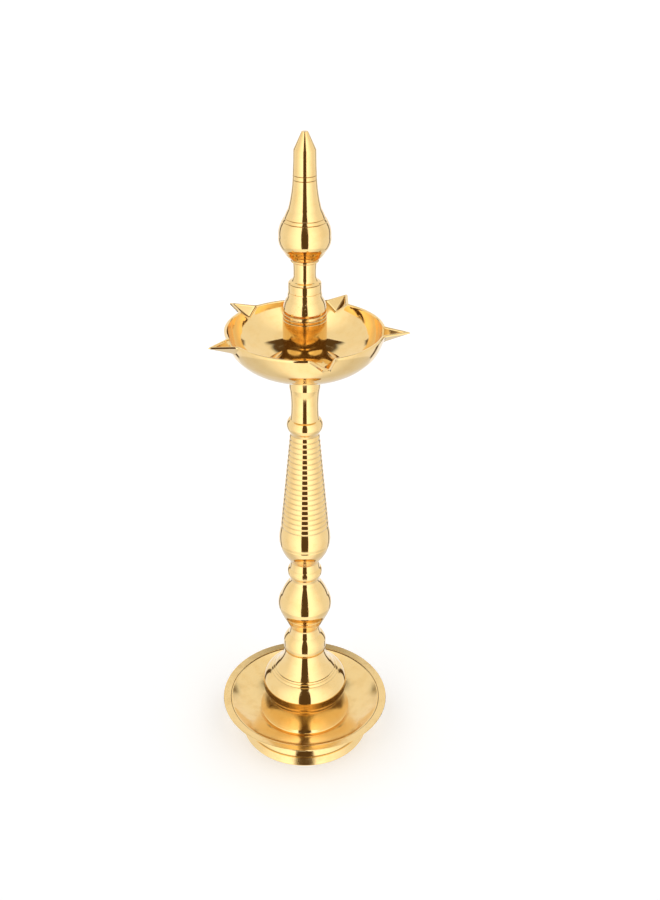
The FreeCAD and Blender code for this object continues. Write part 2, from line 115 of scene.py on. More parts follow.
def remap(tree, value, low, high, to_low, to_high, kind="SMOOTHSTEP"):
    """Map a value from one range to another, held at the ends; returns the output socket."""
    feeds = {0: value, 1: low, 2: high, 3: to_low, 4: to_high}
    return put(tree, "ShaderNodeMapRange", feeds, interpolation_type=kind).outputs[0]


# %% [markdown]
# ## Soft studio light
# Polished brass shows its surroundings more than itself, so the light is what gives it its
# look: two tall white panels with a narrow dark gap between them in front, a thin gap where
# each panel ends, and white behind and below. Area lights could do it, but their edges and
# evenness are hard to shape. Here the world itself is the set of panels, painted by
# direction, which is even, free of noise and the same from every side.

# %% World of panels
GAP_HALF_ANGLE = 15.5       # degrees, the dark gap in front
GAP_SOFTNESS = 0.02         # how far its edges fade, to each side
GAP_OVERHEAD = 0.13         # half the gap's width for each metre up, where it runs overhead
GAP_LOWEST = -0.635         # the gap fades out in directions that point lower than this
GAP_FADE = 0.03
BEHIND_FADE = 0.10          # the gap fades out this far behind the lamp
PANEL_END = 134.0           # degrees round from the front to each panel's far end
PANEL_END_HALF_WIDTH = 4.5
PANEL_END_SOFTNESS = 0.4    # the share of that gap's half width that its edges take to fade
PANEL_END_TOP = 0.30        # that gap fades out above this height
PANEL_END_FADE = 0.12
FROM_BELOW = 0.80           # brightness of the white table top, against the panels above it
PANEL_NEAR = 1.65           # brightness beside the front gap
PANEL_GLOW_END = 90.0       # degrees, where the bright part beside the gap has faded
PANEL_FAR = 0.98            # brightness from there to the far end
BACKDROP = 1.0
BACKDROP_TOP = 0.74         # the white behind ends in directions that point higher than this
BACKDROP_FADE = 0.08
DARK = (0.105, 0.062, 0.026, 1)     # the room between the panels, warm and dim
WHITE = (1, 1, 1, 1)

world = bpy.data.worlds.new("studio")
bpy.context.scene.world = world
world.use_nodes = True
tree = world.node_tree
tree.nodes.clear()
place = put(tree, "ShaderNodeTexCoord").outputs["Generated"]
split = put(tree, "ShaderNodeSeparateXYZ", {0: place})
across = calc(tree, "ABSOLUTE", split.outputs["X"])
ahead = calc(tree, "MULTIPLY", split.outputs["Y"], -1.0)
height = split.outputs["Z"]
gap_side = calc(tree, "MULTIPLY", ahead, math.tan(math.radians(GAP_HALF_ANGLE)))
gap_top = calc(tree, "MULTIPLY", height, GAP_OVERHEAD)
gap_edge = calc(tree, "MAXIMUM", gap_side, gap_top)
past_edge = calc(tree, "SUBTRACT", across, gap_edge)
outside = remap(tree, past_edge, -GAP_SOFTNESS, GAP_SOFTNESS, 0.0, 1.0)
behind = remap(tree, ahead, -BEHIND_FADE, 0.0, 1.0, 0.0)
low = remap(tree, height, GAP_LOWEST, GAP_LOWEST + GAP_FADE, 1.0, 0.0)
open_front = calc(tree, "MAXIMUM", calc(tree, "MAXIMUM", outside, behind), low)
angle = calc(tree, "ARCTAN2", across, ahead)
end_angle = math.radians(PANEL_END)
end_width = math.radians(PANEL_END_HALF_WIDTH)
off_end = calc(tree, "ABSOLUTE", calc(tree, "SUBTRACT", angle, end_angle))
high = remap(tree, height, PANEL_END_TOP, PANEL_END_TOP + PANEL_END_FADE, 0.0, 1.0)
open_end = remap(tree, off_end, end_width * (1 - PANEL_END_SOFTNESS),
                 end_width * (1 + PANEL_END_SOFTNESS), 0.0, 1.0)
open_end = calc(tree, "MAXIMUM", open_end, calc(tree, "MAXIMUM", low, high))
panel = remap(tree, angle, math.radians(GAP_HALF_ANGLE), math.radians(PANEL_GLOW_END),
              PANEL_NEAR, PANEL_FAR)
at_back = calc(tree, "GREATER_THAN", angle, end_angle)
backdrop = remap(tree, height, BACKDROP_TOP, BACKDROP_TOP + BACKDROP_FADE, BACKDROP, 0.0)
shade = put(tree, "ShaderNodeMix", {0: at_back, 2: panel, 3: backdrop}).outputs[0]
lit = calc(tree, "MULTIPLY", shade, calc(tree, "MULTIPLY", open_front, open_end))
lit = calc(tree, "MULTIPLY", lit, remap(tree, low, 0.0, 1.0, 1.0, FROM_BELOW))
white = put(tree, "ShaderNodeCombineColor", {0: lit, 1: lit, 2: lit}).outputs[0]
room = put(tree, "ShaderNodeMix", {0: 1.0, 6: white, 7: DARK}, data_type="RGBA",
           blend_type="LIGHTEN").outputs["Result"]
seen = put(tree, "ShaderNodeLightPath").outputs["Is Camera Ray"]
final = put(tree, "ShaderNodeMix", {0: seen, 6: room, 7: WHITE},
            data_type="RGBA").outputs["Result"]
glow = put(tree, "ShaderNodeBackground", {"Color": final})
put(tree, "ShaderNodeOutputWorld", {"Surface": glow.outputs[0]})
bpy.context.scene.view_settings.view_transform = "Standard"
print("panels from", GAP_HALF_ANGLE, "to", PANEL_END, "degrees on each side")

# %% [markdown]
# ## The floor
# The lamp stands on a plain pale surface. A floor that curves up behind would hide the
# horizon, but the camera looks down so far that a flat one fills the view. It is kept out
# of mirror reflections: a real polished set top mirrors the panels, and brass then sees the
# same panels below it as above, which is what the world already gives.

# %% Floor
FLOOR_HALF = 6.0            # m
FLOOR_DULL = (0.74, 0.74, 0.735, 1)
FLOOR_PALE = (0.77, 0.77, 0.765, 1)
FLOOR_GRAIN = 60.0          # patches to a metre
FLOOR_ROUGHNESS = 0.7
FLOOR_GLOW = 0.36           # lifts the floor to the white of the room behind it

floor_mesh = bpy.data.meshes.new("floor")
corners = [(x * FLOOR_HALF, y * FLOOR_HALF, 0)
           for x, y in ((-1, -1), (1, -1), (1, 1), (-1, 1))]
floor_mesh.from_pydata(corners, [], [(0, 1, 2, 3)])
floor = bpy.data.objects.new("floor", floor_mesh)
bpy.context.collection.objects.link(floor)
floor_finish = bpy.data.materials.new("pale_floor")
floor_finish.use_nodes = True
tree = floor_finish.node_tree
tree.nodes.clear()
place = put(tree, "ShaderNodeTexCoord").outputs["Object"]
grain = put(tree, "ShaderNodeTexNoise", {"Vector": place, "Scale": FLOOR_GRAIN, "Detail": 3.0})
tint = put(tree, "ShaderNodeMix", {0: grain.outputs[0], 6: FLOOR_DULL, 7: FLOOR_PALE},
           data_type="RGBA").outputs["Result"]
matt = put(tree, "ShaderNodeBsdfPrincipled", {
    "Base Color": tint, "Roughness": FLOOR_ROUGHNESS,
    "Emission Color": WHITE, "Emission Strength": FLOOR_GLOW})
put(tree, "ShaderNodeOutputMaterial", {"Surface": matt.outputs[0]})
floor_mesh.materials.append(floor_finish)
floor.visible_glossy = False
print("floor", 2 * FLOOR_HALF, "m wide")

# %% [markdown]
# ## Effects that several finishes share
# The same few things happen to every brass piece: the lathe tool leaves rings, the buffing wheel
# leaves soft waves and a patchy haze, the casting has pits, and the scribed lines get painted
# shade. Each could be drawn again in every material. As a node group, an effect is built once,
# has named inputs, and every material sets its own amounts.

# %% A helper for node groups
def new_group(name, inputs, outputs):
    """Start a shader node group; returns its tree, its inputs and its outputs."""
    group = bpy.data.node_groups.new(name, "ShaderNodeTree")
    for label, value in inputs.items():
        kind = "NodeSocketVector" if isinstance(value, tuple) else "NodeSocketFloat"
        socket = group.interface.new_socket(label, in_out="INPUT", socket_type=kind)
        socket.default_value = value
    for label in outputs:
        group.interface.new_socket(label, in_out="OUTPUT", socket_type="NodeSocketFloat")
    given = group.nodes.new("NodeGroupInput").outputs
    result = group.nodes.new("NodeGroupOutput").inputs
    return group, given, result


def place_on_piece(tree):
    """The point on the piece: its coordinates, and its distance from the turning axis."""
    place = put(tree, "ShaderNodeTexCoord").outputs["Object"]
    split = put(tree, "ShaderNodeSeparateXYZ", {0: place}).outputs
    across = calc(tree, "MULTIPLY", split["X"], split["X"])
    radius = calc(tree, "SQRT", calc(tree, "MULTIPLY_ADD", split["Y"], split["Y"], across))
    return place, split, radius


# %% [markdown]
# ### Turning marks
# A lathe tool cuts a very fine spiral, which polishing softens but seldom removes. A ring
# pattern by height alone would vanish on flat faces, so the pattern runs along height plus
# part of the radius, and both walls and faces get their rings.

# %% Turning marks
RADIUS_SHARE = 0.7      # how much the radius counts beside the height

marks, given, result = new_group("turning_marks", {"Spacing": 0.0005, "Depth": 1e-6}, ["Height"])
place, split, radius = place_on_piece(marks)
along = calc(marks, "MULTIPLY_ADD", radius, RADIUS_SHARE, split["Z"])
count = calc(marks, "DIVIDE", along, given["Spacing"])
rings = put(marks, "ShaderNodeTexNoise", {"W": count, "Scale": 1.0, "Detail": 3.0},
            noise_dimensions="1D").outputs[0]
centred = calc(marks, "SUBTRACT", rings, 0.5)
marks.links.new(calc(marks, "MULTIPLY", centred, given["Depth"]), result["Height"])
print("group", marks.name)

# %% [markdown]
# ### Hand polish
# Buffing by hand leaves a surface that is smooth but never true. Broad shallow waves bend
# the edges of a reflection, and a cloudy haze makes some patches a little duller.

# %% Hand polish
HAZE_FROM, HAZE_TO = 0.42, 0.68     # the stretch of the cloud pattern over which haze sets in

polish, given, result = new_group(
    "hand_polish", {"Wave Size": 0.014, "Wave Height": 1e-5, "Haze Size": 0.008},
    ["Height", "Haze"])
place, split, radius = place_on_piece(polish)
wave = put(polish, "ShaderNodeTexNoise", {
    "Vector": place, "Scale": calc(polish, "DIVIDE", 1.0, given["Wave Size"]),
    "Detail": 1.5}).outputs[0]
centred = calc(polish, "SUBTRACT", wave, 0.5)
polish.links.new(calc(polish, "MULTIPLY", centred, given["Wave Height"]), result["Height"])
cloud = put(polish, "ShaderNodeTexNoise", {
    "Vector": place, "Scale": calc(polish, "DIVIDE", 1.0, given["Haze Size"]), "Detail": 4.0,
    "Roughness": 0.65}).outputs[0]
polish.links.new(remap(polish, cloud, HAZE_FROM, HAZE_TO, 0.0, 1.0), result["Haze"])
print("group", polish.name)

# %% [markdown]
# ### Casting pits
# Sand-cast brass has small gas pits, in streaks where the metal cooled last. Scattered dots
# all over would look like dirt, so the cells of a Voronoi pattern make the pits, only some
# of the cells count, and they only show inside one stretched patch with a soft edge.

# %% Casting pits
NO_PIT_SHARE = 0.62     # the share of cells with no pit
PATCH_CORE = 0.6        # the share of the patch inside its soft edge

pits, given, result = new_group("casting_pits", {
    "Spacing": 0.0009, "Size": 0.22, "Centre": (0.0, 0.0, 0.0),
    "Reach": (0.01, 0.01, 0.01)}, ["Pit"])
place, split, radius = place_on_piece(pits)
cells = put(pits, "ShaderNodeTexVoronoi", {
    "Vector": place, "Scale": calc(pits, "DIVIDE", 1.0, given["Spacing"]), "Randomness": 1.0})
dot = remap(pits, cells.outputs["Distance"], 0.0, given["Size"], 1.0, 0.0)
chance = put(pits, "ShaderNodeSeparateColor", {0: cells.outputs["Color"]}).outputs[0]
chosen = calc(pits, "GREATER_THAN", chance, NO_PIT_SHARE)
away = put(pits, "ShaderNodeVectorMath", {0: place, 1: given["Centre"]},
           operation="SUBTRACT").outputs[0]
scaled = put(pits, "ShaderNodeVectorMath", {0: away, 1: given["Reach"]},
             operation="DIVIDE").outputs[0]
far = put(pits, "ShaderNodeVectorMath", {0: scaled}, operation="LENGTH").outputs["Value"]
patch = remap(pits, far, PATCH_CORE, 1.0, 1.0, 0.0)
pits.links.new(calc(pits, "MULTIPLY", patch, calc(pits, "MULTIPLY", dot, chosen)), result["Pit"])
print("group", pits.name)

# %% [markdown]
# ### Painted shade in recesses
# Shade falls in scribed lines, seams and creases, and here it is painted into the colour as a
# dark tone. Painting each line by its height would work on one piece only. Ambient occlusion
# finds every narrow recess by itself, because a point there sees little of its surroundings.

# %% Painted shade in recesses
SHUT_IN, OPEN = 0.35, 0.88      # how open a point is where the painted shade is full, and where it ends

recess_shade, given, result = new_group("painted_recess_shade", {"Reach": 0.0009}, ["Grime"])
# This mask is painted shade: it darkens the colour wherever a point is shut in.
openness = put(recess_shade, "ShaderNodeAmbientOcclusion", {"Distance": given["Reach"]},
               samples=6, only_local=True).outputs["AO"]
recess_shade.links.new(remap(recess_shade, openness, SHUT_IN, OPEN, 1.0, 0.0), result["Grime"])
print("group", recess_shade.name)

# %% [markdown]
# ## Brass
# Every brass piece is the same metal, so one function makes all the finishes and each call
# says how that piece was worked. A metal has no diffuse colour: its base colour is the tint
# of its reflections. The thin lacquer that keeps it from tarnishing is the shader's coat,
# whose own reflections are white, so that the highlights are paler than the metal. Only what
# changes over the surface comes through nodes. The metal's own constants are set straight on
# the shader.

# %% The brass recipe
POLISHED = (0.90, 0.635, 0.265, 1)
WARMER = (0.87, 0.565, 0.195, 1)        # where the haze has begun to tarnish
RECESS_SHADE_COLOUR = (0.15, 0.075, 0.025, 1)        # painted shade in a recess or a casting pit
HAZE_TARNISH = 0.5                      # how far full haze takes the colour to the warmer one
SHADE_COVER = 0.9                        # how much of the metal's colour the full painted shade hides
RECESS_ROUGHNESS = 0.3                    # roughness added where the painted shade is full
PIT_DEPTH = 9e-5                        # m
LACQUER = 0.7                           # the weight of the clear coat over the metal
LACQUER_ROUGHNESS = 0.08


def mix_colour(tree, share, first, second):
    """Mix two colours by a share that changes over the surface."""
    feeds = {0: share, 6: first, 7: second}
    return put(tree, "ShaderNodeMix", feeds, data_type="RGBA").outputs["Result"]


def use(tree, group, **inputs):
    """Place one of the shared groups in a material; returns its outputs."""
    feeds = {name.replace("_", " "): value for name, value in inputs.items()}
    node = tree.nodes.new("ShaderNodeGroup")
    node.node_tree = group
    for name, value in feeds.items():
        node.inputs[name].default_value = value
    return node.outputs


def new_material(name):
    """An empty material: its tree, a Principled shader and the material."""
    material = bpy.data.materials.new(name)
    material.use_nodes = True
    tree = material.node_tree
    tree.nodes.clear()
    shader = put(tree, "ShaderNodeBsdfPrincipled")
    put(tree, "ShaderNodeOutputMaterial", {"Surface": shader.outputs[0]})
    return material, tree, shader


def brass(name, rough, haze=0.05, shade_reach=0.0009, rings=(0.0006, 1.6e-6),
          waves=(0.014, 2.2e-5), pit_patch=None, satin=None):
    """Polished brass. rings and waves are (size, height) in metres; satin adds a satin area."""
    material, tree, shader = new_material(name)
    worn = use(tree, polish, Wave_Size=waves[0], Wave_Height=waves[1])
    cut = use(tree, marks, Spacing=rings[0], Depth=rings[1])
    # Ambient occlusion gives the share of painted shade in the recesses.
    shade_share = use(tree, recess_shade, Reach=shade_reach)["Grime"]
    height = calc(tree, "ADD", worn["Height"], cut["Height"])
    if pit_patch:
        pit = use(tree, pits, Centre=pit_patch[0], Reach=pit_patch[1])["Pit"]
        # The pits are darkened with the same painted shade as the recesses.
        shade_share = calc(tree, "MAXIMUM", shade_share, pit)
        height = calc(tree, "MULTIPLY_ADD", pit, -PIT_DEPTH, height)
    roughness = calc(tree, "MULTIPLY_ADD", worn["Haze"], haze, rough)
    if satin:
        area, grain = satin(tree)
        roughness = calc(tree, "MULTIPLY_ADD", area, SATIN_ROUGHNESS, roughness)
        height = calc(tree, "MULTIPLY_ADD", area, grain, height)
    tint = mix_colour(tree, calc(tree, "MULTIPLY", worn["Haze"], HAZE_TARNISH), POLISHED, WARMER)
    # Painted shade: the colour goes dark in recesses and pits.
    tint = mix_colour(tree, calc(tree, "MULTIPLY", shade_share, SHADE_COVER), tint, RECESS_SHADE_COLOUR)
    bump = put(tree, "ShaderNodeBump", {"Height": height, "Distance": 1.0, "Strength": 1.0})
    tree.links.new(tint, shader.inputs["Base Color"])
    roughness = calc(tree, "MULTIPLY_ADD", shade_share, RECESS_ROUGHNESS, roughness)
    tree.links.new(roughness, shader.inputs["Roughness"])
    tree.links.new(bump.outputs[0], shader.inputs["Normal"])
    shader.inputs["Metallic"].default_value = 1.0
    shader.inputs["Coat Weight"].default_value = LACQUER
    shader.inputs["Coat Roughness"].default_value = LACQUER_ROUGHNESS
    return material


# %% [markdown]
# ### The tray's satin dish
# The inside of the tray was only scoured, not buffed, so it has a fine grain and soft
# reflections, while its underside and foot are bright. A second material on part of the mesh
# would need new faces. A mask does it instead: faces that look up are the scoured ones.

# %% The satin area of the tray
SATIN_ROUGHNESS = 0.10      # roughness that scouring adds
UPWARD = 0.25               # the least upward part of the normal of a scoured face
GRAIN_SIZE = 0.00035        # m
GRAIN_HEIGHT = 5e-6         # m


def satin_dish(tree):
    """The mask of the scoured dish, and the height of its grain."""
    place, split, radius = place_on_piece(tree)
    facing = put(tree, "ShaderNodeNewGeometry").outputs["Normal"]
    upward = put(tree, "ShaderNodeSeparateXYZ", {0: facing}).outputs["Z"]
    area = calc(tree, "GREATER_THAN", upward, UPWARD)
    grain = put(tree, "ShaderNodeTexNoise", {
        "Vector": place, "Scale": 1 / GRAIN_SIZE, "Detail": 2.0}).outputs[0]
    return area, calc(tree, "MULTIPLY", calc(tree, "SUBTRACT", grain, 0.5), GRAIN_HEIGHT)


# %% The brass finishes
PILLAR_PITS = ((-0.004, -0.012, 0.345), (0.010, 0.010, 0.012))      # m, centre and reach
FINIAL_PITS = ((-0.0035, -0.007, 0.427), (0.0022, 0.009, 0.016))

finish = {
    "tray_brass": brass("tray_brass", rough=0.08, haze=0.08, satin=satin_dish),
    "bell_brass": brass("bell_brass", rough=0.07),
    "turned_brass": brass("turned_brass", rough=0.07, shade_reach=0.0018),
    "bowl_brass": brass("bowl_brass", rough=0.06, rings=(0.0009, 1.0e-6), waves=(0.020, 2.2e-5)),
    "pillar_brass": brass("pillar_brass", rough=0.10, haze=0.08, pit_patch=PILLAR_PITS),
    "finial_brass": brass("finial_brass", rough=0.08, haze=0.06, pit_patch=FINIAL_PITS),
}
print(len(finish), "brass finishes")

# %% [markdown]
# ## Steel and leather
# The studs are plain steel with rolled threads, the nut and washer are zinc plated, and the seal
# under the pillar is oiled leather. They show only when the lamp is taken apart or turned over,
# but each still has its own look: painted shade in the thread roots and recesses, cloudy zinc,
# leather grain.

# %% Steel and leather
BARE_STEEL, BARE_DULL = (0.62, 0.61, 0.59, 1), (0.42, 0.40, 0.37, 1)
ZINC, ZINC_DULL = (0.70, 0.71, 0.72, 1), (0.50, 0.52, 0.55, 1)
# Painted shade in the thread roots and other recesses, and how much of the colour it hides.
STEEL_RECESS_SHADE = (0.06, 0.045, 0.03, 1)
STEEL_SHADE_COVER = 0.6
STEEL_HAZE = 0.15           # roughness that full haze adds
CREASE_BROWN, LEATHER_BROWN = (0.10, 0.05, 0.025, 1), (0.26, 0.15, 0.08, 1)
LEATHER_CELLS = 1400.0      # grain cells to a metre
LEATHER_GRAIN = 6e-5        # m, the height of the grain
LEATHER_CREVICE, LEATHER_TOP = 0.65, 0.45       # roughness low and high in the grain


def steel(name, colour, dull, rough, cloud_size):
    """Bare or plated steel, clouded between two colours, duller where it is darker."""
    material, tree, shader = new_material(name)
    worn = use(tree, polish, Wave_Size=0.004, Wave_Height=4e-6, Haze_Size=cloud_size)
    cut = use(tree, marks, Spacing=0.0003, Depth=2e-6)
    shade_share = use(tree, recess_shade, Reach=0.0006)["Grime"]
    tint = mix_colour(tree, worn["Haze"], colour, dull)
    # Painted shade: recesses go dark by the ambient occlusion mask.
    tint = mix_colour(tree, calc(tree, "MULTIPLY", shade_share, STEEL_SHADE_COVER), tint, STEEL_RECESS_SHADE)
    height = calc(tree, "ADD", worn["Height"], cut["Height"])
    bump = put(tree, "ShaderNodeBump", {"Height": height, "Distance": 1.0})
    tree.links.new(tint, shader.inputs["Base Color"])
    roughness = calc(tree, "MULTIPLY_ADD", worn["Haze"], STEEL_HAZE, rough)
    tree.links.new(roughness, shader.inputs["Roughness"])
    tree.links.new(bump.outputs[0], shader.inputs["Normal"])
    shader.inputs["Metallic"].default_value = 1.0
    return material


def leather(name):
    """Oiled leather: a cell grain, darker in its creases."""
    material, tree, shader = new_material(name)
    place = put(tree, "ShaderNodeTexCoord").outputs["Object"]
    cells = put(tree, "ShaderNodeTexVoronoi", {"Vector": place, "Scale": LEATHER_CELLS})
    grain = cells.outputs["Distance"]
    tint = mix_colour(tree, grain, CREASE_BROWN, LEATHER_BROWN)
    height = calc(tree, "MULTIPLY", grain, LEATHER_GRAIN)
    bump = put(tree, "ShaderNodeBump", {"Height": height, "Distance": 1.0})
    tree.links.new(tint, shader.inputs["Base Color"])
    roughness = remap(tree, grain, 0.0, 0.8, LEATHER_CREVICE, LEATHER_TOP)
    tree.links.new(roughness, shader.inputs["Roughness"])
    tree.links.new(bump.outputs[0], shader.inputs["Normal"])
    return material


finish["stud_steel"] = steel("stud_steel", BARE_STEEL, BARE_DULL, rough=0.25, cloud_size=0.003)
finish["nut_steel"] = steel("nut_steel", ZINC, ZINC_DULL, rough=0.30, cloud_size=0.002)
finish["seal_leather"] = leather("seal_leather")
print(len(finish), "finishes in all")

# %% [markdown]
# ## Pieces that keep their solid
# The tray, bell, collar, baluster, pillar and finial are turned pieces whose solids already
# have the right outline. Turning them again would only risk a difference, so each gets its
# finish in the material slots that it came with. The loop goes over every solid, because one
# that is replaced further down does no harm by being dressed first.

# %% Finish the turned pieces
slot_of = {part["node"]: part["material_slot"] for part in frame["record"]["subparts"]}
for name, piece in nodes.items():
    for slot in piece.material_slots:
        slot.material = finish[slot_of[name]]
print(len(nodes), "solids have their finish")

# %% [markdown]
# ## Outlines
# A turned piece is one outline, spun. A station is a radius, a height above the piece's foot
# and a bulge: how far the middle of the stretch to the next station stands off the straight
# line, to the right of the way it runs. A few stations then hold a whole shape, where a list
# of every point would hide it.

# %% Walk an outline
def walk(outline, step):
    """Points along an outline given in mm, at most a step apart; metres are returned."""
    points = []
    for (r0, z0, bulge), (r1, z1, _) in zip(outline, outline[1:]):
        chord = math.hypot(r1 - r0, z1 - z0)
        count = max(1, math.ceil(chord / step))
        for i in range(count):
            share = i / count
            off = 4 * bulge * share * (1 - share) / chord
            points.append(((r0 + (r1 - r0) * share + off * (z1 - z0)) * MM,
                           (z0 + (z1 - z0) * share - off * (r1 - r0)) * MM))
    points.append((outline[-1][0] * MM, outline[-1][1] * MM))
    return points


def give(piece, node):
    """Let a new piece stand for a solid: same body, same slot, same finish."""
    piece.data.materials.clear()
    piece.data.materials.append(finish[slot_of[node]])
    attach(piece, body_of[node])
    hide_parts(node)
    print(piece.name, "has", len(piece.data.polygons), "faces")


# %% [markdown]
# ## Which way faces point
# A grid or a ring that is wrapped round an axis can come out inside out. The sign of the
# volume that the faces enclose says which: it is negative when they point inwards.

# %% Face outwards
def face_outwards(mesh):
    """Turn every face round if the mesh is inside out."""
    work = bmesh.new()
    work.from_mesh(mesh)
    if work.calc_volume(signed=True) < 0:
        bmesh.ops.reverse_faces(work, faces=work.faces)
        work.to_mesh(mesh)
    work.free()


# %% [markdown]
# ## Growing a piece with Geometry Nodes
# A Geometry Nodes tree is a recipe that Blender runs on an object. Its inputs are set on the
# modifier by each socket's identifier, before anything is evaluated. The result is copied to
# a plain mesh and the modifier is taken off, so that the piece is ordinary from then on.

# %% Helpers for Geometry Nodes
CREASE_ANGLE = 32           # degrees; an edge that is bent more than this stays sharp
WELD = 2e-6                 # m; points closer than this become one


def new_recipe(name, inputs):
    """Start a Geometry Nodes tree with named inputs; returns the tree and its inputs."""
    tree = bpy.data.node_groups.new(name, "GeometryNodeTree")
    tree.interface.new_socket("Geometry", in_out="OUTPUT", socket_type="NodeSocketGeometry")
    tree.interface.new_socket("Geometry", in_out="INPUT", socket_type="NodeSocketGeometry")
    for label, kind in inputs.items():
        tree.interface.new_socket(label, in_out="INPUT", socket_type="NodeSocket" + kind)
    return tree, tree.nodes.new("NodeGroupInput").outputs


def finish_recipe(tree, mesh, material):
    """Close the seam and poles, crease the sharp edges, and end the tree."""
    joined = put(tree, "GeometryNodeMergeByDistance",
                 {"Geometry": mesh, "Distance": WELD}).outputs[0]
    smooth = put(tree, "GeometryNodeSetShadeSmooth", {0: joined, "Shade Smooth": True}).outputs[0]
    bend = put(tree, "GeometryNodeInputMeshEdgeAngle").outputs["Unsigned Angle"]
    crease = calc(tree, "GREATER_THAN", bend, math.radians(CREASE_ANGLE))
    sharp = put(tree, "GeometryNodeSetShadeSmooth",
                {0: smooth, "Selection": crease, "Shade Smooth": False}, domain="EDGE").outputs[0]
    real = put(tree, "GeometryNodeRealizeInstances", {0: sharp}).outputs[0]
    dressed = put(tree, "GeometryNodeSetMaterial",
                  {"Geometry": real, "Material": material}).outputs[0]
    put(tree, "NodeGroupOutput", {0: dressed})


def grid_shares(tree, columns, rows):
    """A unit grid of points; returns its mesh, each point's share round it, and its row."""
    grid = put(tree, "GeometryNodeMeshGrid", {
        "Size X": 1.0, "Size Y": 1.0, "Vertices X": columns, "Vertices Y": rows}).outputs["Mesh"]
    here = put(tree, "ShaderNodeSeparateXYZ",
               {0: put(tree, "GeometryNodeInputPosition").outputs[0]}).outputs
    round_share = calc(tree, "ADD", here["X"], 0.5)
    steps = calc(tree, "SUBTRACT", rows, 1.0)
    row = calc(tree, "ROUND", calc(tree, "MULTIPLY", calc(tree, "ADD", here["Y"], 0.5), steps))
    return grid, round_share, row


def spin(tree, mesh, round_share, radius, height):
    """Move each grid point to its radius and height, its share of the way round."""
    turn = calc(tree, "MULTIPLY", round_share, 2 * math.pi)
    place = put(tree, "ShaderNodeCombineXYZ", {
        0: calc(tree, "MULTIPLY", radius, calc(tree, "COSINE", turn)),
        1: calc(tree, "MULTIPLY", radius, calc(tree, "SINE", turn)), 2: height}).outputs[0]
    return put(tree, "GeometryNodeSetPosition", {"Geometry": mesh, "Position": place}).outputs[0]


def grow(name, recipe, seed, values):
    """Run a recipe on a seed mesh and return the result as an ordinary object."""
    piece = bpy.data.objects.new(name, seed)
    bpy.context.collection.objects.link(piece)
    modifier = piece.modifiers.new("recipe", "NODES")
    modifier.node_group = recipe
    for item in recipe.interface.items_tree:
        if item.in_out == "INPUT" and item.name in values:
            modifier[item.identifier] = values[item.name]
    graph = bpy.context.evaluated_depsgraph_get()
    mesh = bpy.data.meshes.new_from_object(piece.evaluated_get(graph))
    piece.modifiers.remove(modifier)
    piece.data = mesh
    mesh.name = name
    face_outwards(mesh)
    return piece


# %% [markdown]
# ## The ribbed column
# The upper stem is one turned piece with about twenty grooves and the metal between them
# swelling out. The ribs could be modelled one by one, but they follow a rule: equal steps up
# a straight taper, with the same swell. So the recipe spins an outline and adds the swell as
# a wave that is zero at every groove. Change the count and the whole column follows.

# %% The recipe for a ribbed turning
recipe, given = new_recipe("ribbed_turning", {
    "Sides": "Int", "Rib Foot": "Float", "Rib Top": "Float", "Ribs": "Int", "Rib Swell": "Float",
    "Material": "Material"})
outline_size = put(recipe, "GeometryNodeAttributeDomainSize", {"Geometry": given["Geometry"]})
rows = outline_size.outputs["Point Count"]
grid, round_share, row = grid_shares(recipe, calc(recipe, "ADD", given["Sides"], 1.0), rows)
own_place = put(recipe, "GeometryNodeInputPosition").outputs[0]
on_outline = put(recipe, "GeometryNodeSampleIndex", {
    "Geometry": given["Geometry"], "Value": own_place, "Index": row},
    data_type="FLOAT_VECTOR").outputs[0]
outline_place = put(recipe, "ShaderNodeSeparateXYZ", {0: on_outline}).outputs
span = calc(recipe, "SUBTRACT", given["Rib Top"], given["Rib Foot"])
above_foot = calc(recipe, "SUBTRACT", outline_place["Z"], given["Rib Foot"])
share = calc(recipe, "DIVIDE", above_foot, span)
ribbed = calc(recipe, "COMPARE", share, 0.5, 0.5)       # one from the ribs' foot to their top
phase = calc(recipe, "FRACT", calc(recipe, "MULTIPLY", share, given["Ribs"]))
other_side = calc(recipe, "SUBTRACT", 1.0, phase)       # 4 p (1 - p) is a hump one high
hump = calc(recipe, "MULTIPLY", calc(recipe, "MULTIPLY", phase, other_side), 4.0)
swell = calc(recipe, "MULTIPLY", calc(recipe, "MULTIPLY", hump, given["Rib Swell"]), ribbed)
radius = calc(recipe, "ADD", outline_place["X"], swell)
turned = spin(recipe, grid, round_share, radius, outline_place["Z"])
finish_recipe(recipe, turned, given["Material"])
ribbed_turning = recipe
print("recipe", recipe.name)

